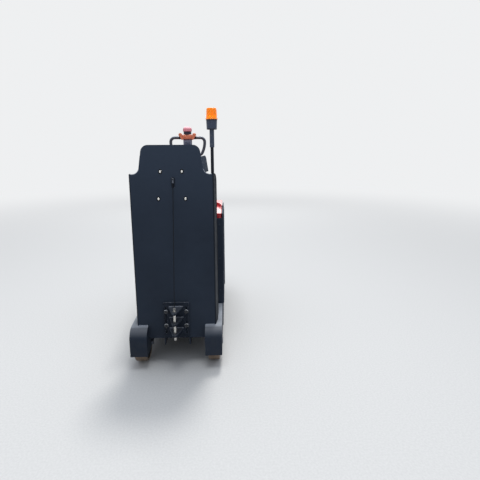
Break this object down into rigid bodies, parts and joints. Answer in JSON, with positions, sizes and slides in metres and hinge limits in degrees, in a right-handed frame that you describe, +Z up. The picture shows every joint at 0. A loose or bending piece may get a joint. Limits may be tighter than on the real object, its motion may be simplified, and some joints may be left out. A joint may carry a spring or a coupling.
{
  "type": "stand-on electric tow tractor for airport baggage carts",
  "caption": "Stand-on electric tow tractor with a tall back panel, stepped tow hitch with drop-in pin, driver's platform, battery hood, amber beacon and a tilting tiller that steers.",
  "frame": {"origin": "on the floor, below the middle of the bounding box", "axes": "+Y forwards, +X to the driver's right, +Z up"},
  "size_m": [0.65, 1.49, 1.75],
  "materials": {
    "frame_paint": "satin",
    "panel_paint": "satin",
    "rubber_black": "matte",
    "bright_steel": "satin",
    "wheel_hub": "matte",
    "polyurethane": "satin",
    "pad_vinyl": "satin",
    "plastic_black": "satin",
    "cord_black": "satin",
    "pole_black": "satin",
    "amber_lens": "gloss",
    "lamp_glass": "gloss",
    "cover_red": "gloss",
    "button_red": "gloss",
    "battery_case": "matte",
    "motor_case": "satin",
    "arm_paint": "satin",
    "plastic_orange": "satin"
  },
  "bodies": {
    "chassis": {"floor_plate": "frame_paint", "frame_rails": "frame_paint", "front_frame": "frame_paint", "wheel_boxes": "frame_paint", "hitch_plate": "frame_paint", "hitch_tongues": "frame_paint", "front_bumper": "frame_paint", "back_panel": "panel_paint", "hood_rear_wall": "panel_paint", "side_covers": "panel_paint", "front_hood": "panel_paint", "platform_mat": "rubber_black", "rear_axles": "bright_steel", "steering_bearing": "bright_steel", "cord_clamp": "bright_steel", "backrest_pad": "pad_vinyl", "release_handle": "plastic_black", "beacon_base": "plastic_black", "headlamp": "plastic_black", "control_console": "plastic_black", "pull_cord": "cord_black", "beacon_pole": "pole_black", "pole_clamps": "pole_black", "cover_hinges": "pole_black", "beacon_lens": "amber_lens", "headlamp_lens": "lamp_glass", "emergency_stop": "button_red", "battery": "battery_case"},
    "rear_wheel_left": {"rear_hub_left": "wheel_hub", "rear_tyre_left": "polyurethane"},
    "rear_wheel_right": {"rear_hub_right": "wheel_hub", "rear_tyre_right": "polyurethane"},
    "steering_unit": {"drive_case": "frame_paint", "drive_motor": "motor_case", "steering_column": "frame_paint", "column_boot": "rubber_black", "tiller_yoke": "frame_paint"},
    "drive_wheel": {"drive_hub": "wheel_hub", "drive_tyre": "polyurethane"},
    "tiller": {"tiller_arm": "arm_paint", "tiller_head": "plastic_orange", "tiller_loops": "plastic_black", "throttle_ears": "plastic_orange", "button_base": "plastic_black", "belly_button": "button_red"},
    "battery_lid": {"battery_cover": "cover_red"},
    "hitch_pin": {"tow_pin": "bright_steel"}
  },
  "joints": [
    {"name": "rear_roll_left", "type": "hinge", "parent": "chassis", "child": "rear_wheel_left", "pos_m": [-0.254, -0.543, 0.125], "axis": [1, 0, 0], "continuous": true},
    {"name": "rear_roll_right", "type": "hinge", "parent": "chassis", "child": "rear_wheel_right", "pos_m": [0.254, -0.543, 0.125], "axis": [1, 0, 0], "continuous": true},
    {"name": "steer", "type": "hinge", "parent": "chassis", "child": "steering_unit", "pos_m": [0, 0.451, 0.4], "axis": [0, 0, 1], "range_deg": [-90, 90]},
    {"name": "drive_roll", "type": "hinge", "parent": "steering_unit", "child": "drive_wheel", "pos_m": [0, 0.451, 0.125], "axis": [1, 0, 0], "continuous": true},
    {"name": "tiller_tilt", "type": "hinge", "parent": "steering_unit", "child": "tiller", "pos_m": [0, 0.451, 1.045], "axis": [1, 0, 0], "range_deg": [0, 70], "stiffness_Nm_per_rad": 40, "springref_deg": -20.05},
    {"name": "lid_hinge", "type": "hinge", "parent": "chassis", "child": "battery_lid", "pos_m": [0, 0.25, 1.02], "axis": [1, 0, 0], "range_deg": [-75, 0]},
    {"name": "pin_lift", "type": "slide", "parent": "chassis", "child": "hitch_pin", "axis": [0, 0, 1], "range_m": [0, 0.2], "deforming": ["pull_cord"]}
  ]
}
